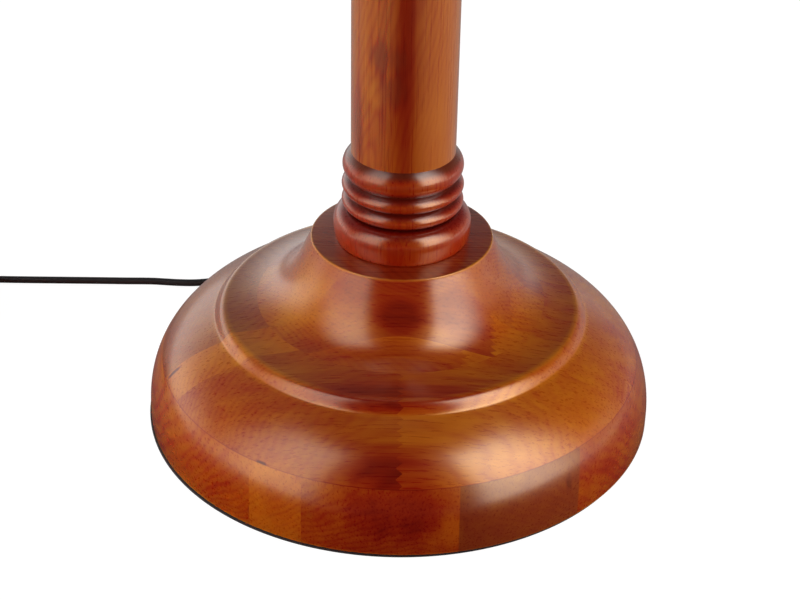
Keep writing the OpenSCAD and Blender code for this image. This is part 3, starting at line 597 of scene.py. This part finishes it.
def base_top():
    """Its strips run from side to side. The first spot is painted shade on the flat top face,
    where the column shades it, and the second painted shade down the front of the sweep. The
    edge is a painted highlight along the top of the sweep.
    """
    turned_wood("wood_base_top",
                [(BORE_R, SEAM_HIGH)] + layer(SEAM_HIGH, BASE_TOP)
                + socket(SPIGOT_R, BASE_TOP, SPIGOT_H),
                wood("wood_base_top", 12, ALONG_X, reach=120, rings=2.2, pith=(64, 30), lean=0.3,
                     thirst=0.15,
                     strips=[(-120, 40, (0.05, 0), (0.09, 0)), (-72, 58, (-0.02, 0.2), (0.12, 0)),
                             (-45, 70, (0.03, 0.2), (0.08, 0)), (0, -30, (0.04, 0.1), (0.0, 0.2)),
                             (45, 10, (-0.02, 0.2), (0.05, 0))],
                     spots=[((0, 0, BASE_TOP + 0.2), (80, 80, 1.4), -0.2),
                            ((0, -64, 104), (20, 12, 16), -0.24),
                            ((36, -56, 100), (24, 16, 30), -0.2),
                            ((-62, -42, 100), (34, 32, 30), 0.2)],
                     highlit_edges=[(55.8, BASE_TOP - 0.5, 1.2, 0.3)]),
                "base_top_layer", segments=320)


def collar(end, seed, **place):
    """A broad bead and three narrow ones, at the foot of the column and upside down on top."""
    torus_r, torus_z, torus_top, torus_foot = 42.2, 10.8, 20.3, 2.1
    bead_r, bead_h, last_bead_r = 37.1, 10.6, 36.65
    second_z, last_z = torus_top + bead_h, torus_top + 2 * bead_h
    torus_start = GROOVE_R + 0.5
    outline = (spigot(SPIGOT_R, SPIGOT_H)
               + arc((torus_r - torus_foot, torus_z), torus_foot, torus_z, -90, 0, 12)
               + arc((torus_start, torus_z), torus_r - torus_start, torus_top - torus_z, 0, 90, 20)
               + bead(GROOVE_R, GROOVE_R, bead_r - GROOVE_R, torus_top, second_z)
               + bead(GROOVE_R, GROOVE_R, bead_r - GROOVE_R, second_z, last_z)
               + bead(GROOVE_R, COLUMN_R, last_bead_r - (GROOVE_R + COLUMN_R) / 2, last_z,
                      COLLAR_H, 22)
               + socket(TENON_R, COLLAR_H, TENON_H))
    turned_wood(f"wood_{end}_collar", outline,
                wood(f"wood_{end}_collar", seed, ALONG_Z, **BEADED), f"{end}_collar", **place)


def lower_column():
    """The spots are three smudges and a pale patch near its foot, and a redder stripe down its
    front that is painted shade."""
    turned_wood("wood_lower_column",
                spigot(TENON_R, TENON_H) + [(COLUMN_R, 0), (COLUMN_R, LOWER_H)]
                + socket(TENON_R, LOWER_H, TENON_H),
                wood("wood_lower_column", 21, ALONG_Z, reach=40, rings=2.6, lean=0.2,
                     pith=(26, -55), figure=0.1, strips=GOLDEN,
                     spots=[((-14, -29, COLUMN_Z + 72), (17, 17, 14), -0.12, 0.75),
                            ((-27, -16, COLUMN_Z + 22), (11, 13, 38), -0.14, 0.75),
                            ((-8, -31, COLUMN_Z + 52), (10, 10, 15), -0.12, 0.6),
                            ((-17, -27, COLUMN_Z + 48), (9, 9, 12), 0.12),
                            ((1, -31, COLUMN_Z + 60), (6.6, 6, 380), -0.16)]),
                "lower_column", base=COLUMN_Z)


def joint_ring():
    """A broad bead between two narrower ones that meet the columns."""
    bead_h, bead_proud, side_r = 20.3, 7.7, 36.65
    side_h = (RING_H - bead_h) / 2
    side_proud = side_r - (COLUMN_R + GROOVE_R) / 2
    turned_wood("wood_joint_ring",
                [(TENON_R + FIT, 0)] + bead(COLUMN_R, GROOVE_R, side_proud, 0, side_h)
                + bead(GROOVE_R, GROOVE_R, bead_proud, side_h, side_h + bead_h, 24)
                + bead(GROOVE_R, COLUMN_R, side_proud, side_h + bead_h, RING_H)
                + [(TENON_R + FIT, RING_H)],
                wood("wood_joint_ring", 25, ALONG_Z, **BEADED), "joint_ring", base=RING_Z)


def upper_column():
    turned_wood("wood_upper_column",
                spigot(TENON_R, RING_H + TENON_H)
                + [(COLUMN_R, 0), (COLUMN_R, UPPER_H), (TENON_R, UPPER_H),
                   (TENON_R, UPPER_H + TENON_H), (BORE_R, UPPER_H + TENON_H)],
                wood("wood_upper_column", 28, ALONG_Z, reach=40, rings=2.2, lean=-0.1,
                     pith=(-6, 24), figure=0.12, strips=GOLDEN),
                "upper_column", base=UPPER_Z)


def drip_pan():
    foot_r, pan_r = 38.5, 62
    rim_z = PAN_H - 9
    turned_wood("wood_drip_pan",
                [(BORE_R, SPIGOT_H + CLEAR), (SPIGOT_R + FIT, SPIGOT_H + CLEAR),
                 (SPIGOT_R + FIT, 0), (foot_r, 0)]
                + curve((foot_r, 4), (40, 20), (48, rim_z - 4), (pan_r - 5, rim_z - 1), 32)
                + bead(pan_r - 4, pan_r - 4, 4, rim_z, PAN_H, 18)
                + curve((pan_r - 6, PAN_H), (pan_r - 12, PAN_H - 1), (pan_r - 16, PAN_FLOOR),
                        (pan_r - 24, PAN_FLOOR), 16) + [(BORE_R, PAN_FLOOR)],
                wood("wood_drip_pan", 31, ALONG_Y, reach=70, rings=3,
                     strips=[(-70, 200, (0.04, 0), (0, 0)), (-12, 200, (-0.03, 0.2), (0, 0)),
                             (34, 200, (0.06, 0), (0, 0))]),
                "drip_pan", base=PAN_Z)


def candle_cup():
    turned_wood("wood_candle_cup",
                bored(bead(30, 28, 2.5, 0, 7, 14)
                      + curve((27, 7), (20, 9), (17.5, 15), (18, 21), 16)
                      + curve((18, 21), (19, 29), (24, 31), (24.5, CUP_H - 8), 16)
                      + bead(24, 24, 2.2, CUP_H - 7, CUP_H, 14)),
                wood("wood_candle_cup", 34, ALONG_Z,
                     **dict(BEADED, reach=40, groove=(18, 23))),
                "candle_cup", base=CUP_Z)


base_lower()
base_middle()
base_top()
collar("foot", 15, base=BASE_TOP)
collar("top", 19, base=PAN_Z, flip=True)
lower_column()
joint_ring()
upper_column()
drip_pan()
candle_cup()


# ---- other materials ----------------------------------------------------------------------

def felt():
    g = Graph("pad_felt")
    fuzz = g.noise(g.coords(), 900, 4, 0.7)
    return g.finish(base_color=g.mix(fuzz, (0.006, 0.006, 0.007), (0.022, 0.022, 0.024)),
                    roughness=0.95, sheen_weight=0.15, normal=g.bump(fuzz, 0.5, 0.0003))


def sheath():
    g = Graph("cord_black")
    place = g.coords()
    grain = g.noise(place, 1440, 3, 0.6)
    wear = g.noise(place, 60, 3)
    return g.finish(base_color=g.mix(wear, (0.010, 0.010, 0.011), (0.020, 0.020, 0.022)),
                    roughness=g.remap(grain, 0.3, 0.7, 0.42, 0.6),
                    normal=g.bump(grain, 0.15, 0.0001))


def metal(name, light, dark, rough=(0.12, 0.3), grain=(400, 400, 6000), bump=0.05):
    """Metal with a bloom between two colours and fine marks, round the axis unless grain says
    otherwise."""
    g = Graph(name)
    place = g.coords()
    marks = g.drawn(place, grain, 3, 0.6)
    bloom = g.noise(place, 60, 4, 0.6)
    shine = g.scaled(bloom, 0.5, g.times(marks, 0.5))
    return g.finish(base_color=g.mix(g.remap(bloom, 0.35, 0.75), light, dark), metallic=1.0,
                    roughness=g.remap(shine, 0.3, 0.7, *rough),
                    normal=g.bump(marks, bump, 0.0001))


def plastic(name, low, high, rough=(0.25, 0.4)):
    g = Graph(name)
    grain = g.noise(g.coords(), 1500, 3, 0.6)
    return g.finish(base_color=g.mix(grain, low, high),
                    roughness=g.remap(grain, 0.3, 0.7, *rough),
                    normal=g.bump(grain, 0.08, 0.0001))


def board(name, low, high):
    """Pressed fibre board or card."""
    g = Graph(name)
    fibre = g.drawn(g.coords(), (300, 90, 300), 4, 0.7)
    return g.finish(base_color=g.mix(fibre, low, high), roughness=0.8,
                    normal=g.bump(fibre, 0.3, 0.0002))


def woven(name, low, high, pitch, slub=0.5):
    """Plain weave on the turned surface, with the warp up and the weft round. pitch is the
    distance of two threads in metres, and slub how uneven the threads are."""
    g = Graph(name)
    place = g.coords("UV")
    u, v, _ = g.split(place)

    def thread(run, drift):
        return g.math("SINE", g.scaled(drift, 2.2, g.times(run, 2 * math.pi / pitch)))

    warp = thread(u, g.drawn(place, (900, 40, 1), 3))
    weft = thread(v, g.drawn(place, (40, 900, 1), 3))
    weave = g.scaled(g.times(warp, weft), 0.5, 0.5)
    weft_slubs = g.drawn(place, (12, 1400, 1), 4, 0.6)
    warp_slubs = g.drawn(place, (1400, 12, 1), 4, 0.6)
    tone = g.scaled(g.add(weft_slubs, warp_slubs), slub, g.scaled(weave, 0.35, -slub * 0.65))
    return g.finish(base_color=g.mix(g.remap(tone, 0.0, 0.7), low, high), roughness=0.85,
                    sheen_weight=0.2, sheen_roughness=0.5,
                    normal=g.bump(g.add(weave, weft_slubs), 0.35, 0.0002))


def opal():
    g = Graph("opal_glass")
    cloud = g.noise(g.coords(), 35, 2)
    return g.finish(base_color=g.mix(cloud, (0.86, 0.86, 0.84), (0.93, 0.93, 0.91)),
                    roughness=g.remap(cloud, 0.3, 0.7, 0.1, 0.16), coat_weight=0.3,
                    coat_roughness=0.04)


MATERIALS = {
    "brass": metal("brass", (0.80, 0.58, 0.26), (0.62, 0.42, 0.17)),
    "zinc_steel": metal("zinc_steel", (0.62, 0.62, 0.63), (0.45, 0.46, 0.48), (0.25, 0.45)),
    "ballast_steel": metal("ballast_steel", (0.11, 0.11, 0.115), (0.06, 0.055, 0.05),
                           (0.45, 0.7), (90, 90, 90), 0.2),
    "pin_metal": metal("pin_metal", (0.78, 0.76, 0.70), (0.62, 0.60, 0.55), (0.15, 0.3)),
    "bulb_metal": metal("bulb_metal", (0.80, 0.80, 0.81), (0.65, 0.66, 0.68), (0.2, 0.35)),
    "dark_plastic": plastic("dark_plastic", (0.012, 0.010, 0.009), (0.022, 0.019, 0.017)),
    "gland_black": plastic("gland_black", (0.014, 0.014, 0.015), (0.024, 0.024, 0.026),
                           (0.4, 0.55)),
    "plug_black": plastic("plug_black", (0.012, 0.012, 0.013), (0.022, 0.022, 0.024),
                          (0.38, 0.55)),
    "tie_black": plastic("tie_black", (0.008, 0.008, 0.008), (0.03, 0.03, 0.03), (0.8, 0.95)),
    "cord_black": sheath(),
    "cover_board": board("cover_board", (0.16, 0.10, 0.055), (0.28, 0.19, 0.11)),
    "card_liner": board("card_liner", (0.50, 0.40, 0.26), (0.60, 0.50, 0.35)),
    "opal_glass": opal(),
    "pad_felt": felt(),
    "shade_linen": woven("shade_linen", (0.50, 0.43, 0.32), (0.80, 0.74, 0.62), 0.9 * MM),
    "edging_tape": woven("edging_tape", (0.55, 0.48, 0.36), (0.74, 0.67, 0.54), 0.5 * MM, 0.3),
}


def dress_nodes():
    """Gives each node's own mesh its slot's material."""
    for part in frame["record"]["subparts"]:
        if part["material_slot"] in MATERIALS:
            data = nodes[part["node"]].data
            data.materials.clear()
            data.materials.append(MATERIALS[part["material_slot"]])


dress_nodes()


# ---- pad ----------------------------------------------------------------------------------

PAD_R, PAD_SHIFT = 159.5, -1.4          # stuck on slightly to the left, as in the photograph

turned("felt_pad", [(0.5, 0), (PAD_R - 0.5, 0), (PAD_R, 0.4), (PAD_R, PAD - 0.4),
                    (PAD_R - 0.5, PAD), (0.5, PAD)],
       MATERIALS["pad_felt"], ["base_pad"], "pad_felt", shift=(PAD_SHIFT, 0))


# ---- shade --------------------------------------------------------------------------------

SHADE_TOP, SHADE_BOTTOM = 1495.5, 1215.5
TOP_R, BOTTOM_R, CLOTH = 150, 225, 1.0
TAPE_W, TAPE_T, TAPE_GAP = 9, 0.6, 0.03


def cloth_r(z):
    return TOP_R + (SHADE_TOP - z) * (BOTTOM_R - TOP_R) / (SHADE_TOP - SHADE_BOTTOM)


def liner():
    g = Graph("shade_liner")
    cloud = g.noise(g.coords(), 300, 3)
    return g.finish(base_color=g.mix(cloud, (0.80, 0.79, 0.76), (0.86, 0.85, 0.83)),
                    roughness=g.remap(cloud, 0.3, 0.7, 0.35, 0.5))


def tape(name, z0, z1, node):
    """A woven tape round the cloth's edge, with rounded corners."""
    def inner(z):
        return cloth_r(z) + TAPE_GAP

    face = (z0 + 0.4, *np.linspace(z0 + 1, z1 - 1, 5), z1 - 0.4)
    outline = ([(inner(z0), z0), (inner(z0) + TAPE_T * 0.6, z0)]
               + [(inner(z) + TAPE_T, z) for z in face]
               + [(inner(z1) + TAPE_T * 0.6, z1), (inner(z1), z1)])
    return turned(name, outline, MATERIALS["edging_tape"], [node], "edging_tape", body="shade")


def shade():
    steps = [SHADE_BOTTOM + (SHADE_TOP - SHADE_BOTTOM) * i / 16 for i in range(17)]
    outline = [(cloth_r(z), z) for z in steps] + [(cloth_r(z) - CLOTH, z) for z in steps[::-1]]
    cloth = turned("shade_cloth_linen", outline, [MATERIALS["shade_linen"], liner()],
                   ["shade_cloth"], "shade_linen", body="shade")
    for poly in cloth.data.polygons:
        inward = poly.normal.x * poly.center.x + poly.normal.y * poly.center.y < 0
        poly.material_index = 1 if inward else 0
    tape("shade_tape_top", SHADE_TOP - TAPE_W, SHADE_TOP,
                               "shade_top_tape")
    tape("shade_tape_bottom", SHADE_BOTTOM, SHADE_BOTTOM + TAPE_W,
                               "shade_bottom_tape")


shade()


# ---- the cord's material and body ---------------------------------------------------------

mains_cord.data.materials.append(MATERIALS["cord_black"])
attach(mains_cord, "lamp")
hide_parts("cord", "cord_coil", "cord_tail")


# ---- light and floor ----------------------------------------------------------------------

PANEL_LEFT, PANEL_RIGHT = 2.3, 4.8      # strengths of the studio's panels
PANEL_FILL = 0.05                       # the share of them that reaches other than glossy rays
WALL_LEFT, WALL_RIGHT = 1.9, 0.3        # strengths low down at the back
SOFT_CEILING, DIMMEST = 0.18, 0.015
FLOOR_SIZE, FLOOR_Z = 30, -0.0002       # the floor lies a hair below the pad
SHADOW_GREY = 0.16                      # how much the floor's shadow shows on its white
FLOOR_GREY, MIRRORED_GREY = 0.3, 0.5    # the floor that lights the wood, and in its gloss


def soft_light(name, place, power, aim=0.4, colour=(1, 1, 1), spread=180):
    """An area light aimed at the axis at the height aim. It lights the lamp without showing in
    the lacquer."""
    data = bpy.data.lights.new(name, "AREA")
    data.color, data.spread = colour, math.radians(spread)
    data.shape, data.size, data.size_y = "RECTANGLE", 1.4, 0.6
    data.energy = power
    obj = bpy.data.objects.new(name, data)
    scene.collection.objects.link(obj)
    obj.location = place
    towards = Vector((0, 0, aim)) - Vector(place)
    obj.rotation_euler = towards.to_track_quat("-Z", "Y").to_euler()
    obj.visible_glossy = False


def studio(g, x, z, front, glossy):
    """What the lamp sees: a tall white panel on each side with a dark gap at the front where the
    camera stands, a wall low down at the back, and a ceiling that is dark to glossy rays."""
    panels = g.times(g.remap(x, -0.2, 0.2, PANEL_LEFT, PANEL_RIGHT),
                     g.scaled(glossy, 1 - PANEL_FILL, PANEL_FILL),
                     g.remap(front, 0.76, 0.86, 1.0, 0.0), g.remap(front, -0.1, 0.5),
                     g.remap(z, 0.0, 0.6, 0.65, 1.0, "LINEAR"), g.remap(z, 0.82, 0.92, 1.0, 0.0))
    wall = g.times(g.remap(x, -0.3, 0.3, WALL_LEFT, WALL_RIGHT),
                   g.remap(z, 0.15, 0.55, 0.6, 0.06), g.remap(front, -0.4, 0.1, 1.0, 0.0))
    ceiling = g.times(g.remap(z, 0.35, 0.8, 0.0, SOFT_CEILING), g.less(1.0, glossy))
    return g.add(g.larger(panels, wall), g.add(ceiling, DIMMEST))


def make_world():
    """White to the camera, and low at the back to glossy and transmitted rays. Elsewhere the
    lamp sees the studio."""
    scene.world = bpy.data.worlds.new("world")
    g = Graph("world", scene.world)
    x, y, z = g.split(g.node("TexCoord").outputs["Generated"])
    level = g.larger(g.vec("LENGTH", g.join(x, y, 0.0)), 0.001)
    front = g.math("DIVIDE", g.times(y, -1.0), level)    # 1 towards the camera, -1 behind
    rays = g.node("LightPath").outputs
    mirrored = g.times(g.larger(rays["Is Glossy Ray"], rays["Is Transmission Ray"]),
                       g.remap(front, -0.95, -0.75, 1.0, 0.0), g.remap(x, -0.25, 0.1, 1.0, 0.45),
                       g.remap(z, 0.1, 0.35, 1.0, 0.0))
    white = g.larger(rays["Is Camera Ray"], mirrored)
    background = g.tree.nodes["Background"]
    background.inputs["Color"].default_value = (1, 1, 1, 1)
    g.plug(background.inputs["Strength"],
           g.pick(white, studio(g, x, z, front, rays["Is Glossy Ray"]), 1.0))


def make_floor():
    """White with the lamp's shadow to the camera, and white to glossy rays well behind the lamp.
    Otherwise grey, and darker in front of the lamp."""
    bpy.ops.mesh.primitive_plane_add(size=FLOOR_SIZE, location=(0, 0, FLOOR_Z))
    floor = bpy.context.object
    floor.name = "floor"
    g = Graph("floor_white")
    g.tree.nodes.remove(g.bsdf)
    place = g.node("TexCoord").outputs["Object"]
    x, y, _ = g.split(place)
    rays = g.node("LightPath").outputs
    behind = g.times(rays["Is Glossy Ray"], g.remap(y, 0.8, 2.0), g.remap(x, -0.3, 0.5, 1.0, 0.3))
    white = g.larger(g.larger(rays["Is Camera Ray"], rays["Is Transmission Ray"]), behind)
    far = g.vec("LENGTH", place)
    glow = g.node("Emission", {"Strength": g.remap(far, 0.35, 1.1, 0.97, 1.0)})
    shadow = g.node("BsdfDiffuse", {"Color": (SHADOW_GREY, SHADOW_GREY, SHADOW_GREY, 1)})
    shadowed_white = g.node("AddShader", {0: shadow.outputs[0], 1: glow.outputs[0]})
    in_front = g.times(g.remap(g.math("ABSOLUTE", x), 0.1, 0.45, 1.0, 0.0),
                       g.remap(y, -0.1, 0.2, 1.0, 0.0))
    grey = g.times(g.pick(rays["Is Glossy Ray"], FLOOR_GREY, MIRRORED_GREY),
                   g.scaled(in_front, -0.9, 1.0))
    bounce = g.node("BsdfDiffuse", {"Color": g.join(grey, grey, grey)})
    both = g.node("MixShader", {0: white, 1: bounce.outputs[0], 2: shadowed_white.outputs[0]})
    g.plug(g.tree.nodes["Material Output"].inputs["Surface"], both.outputs[0])
    floor.data.materials.append(g.mat)


make_world()
make_floor()
soft_light("side_light_left", (-2.5, -0.1, 0.36), 64)
soft_light("side_light_right", (2.5, 0.0, 0.36), 72)
# The wood's front glows deep red in the photograph, low down between the two panels
soft_light("front_light", (-0.1, -2.6, 0.5), 2.1, 0.15, (1.0, 0.2, 0.1), 40)
soft_light("upper_light", (-0.6, -2.6, 1.9), 2.6, 1.35, spread=34)

scene.view_settings.view_transform = "Standard"
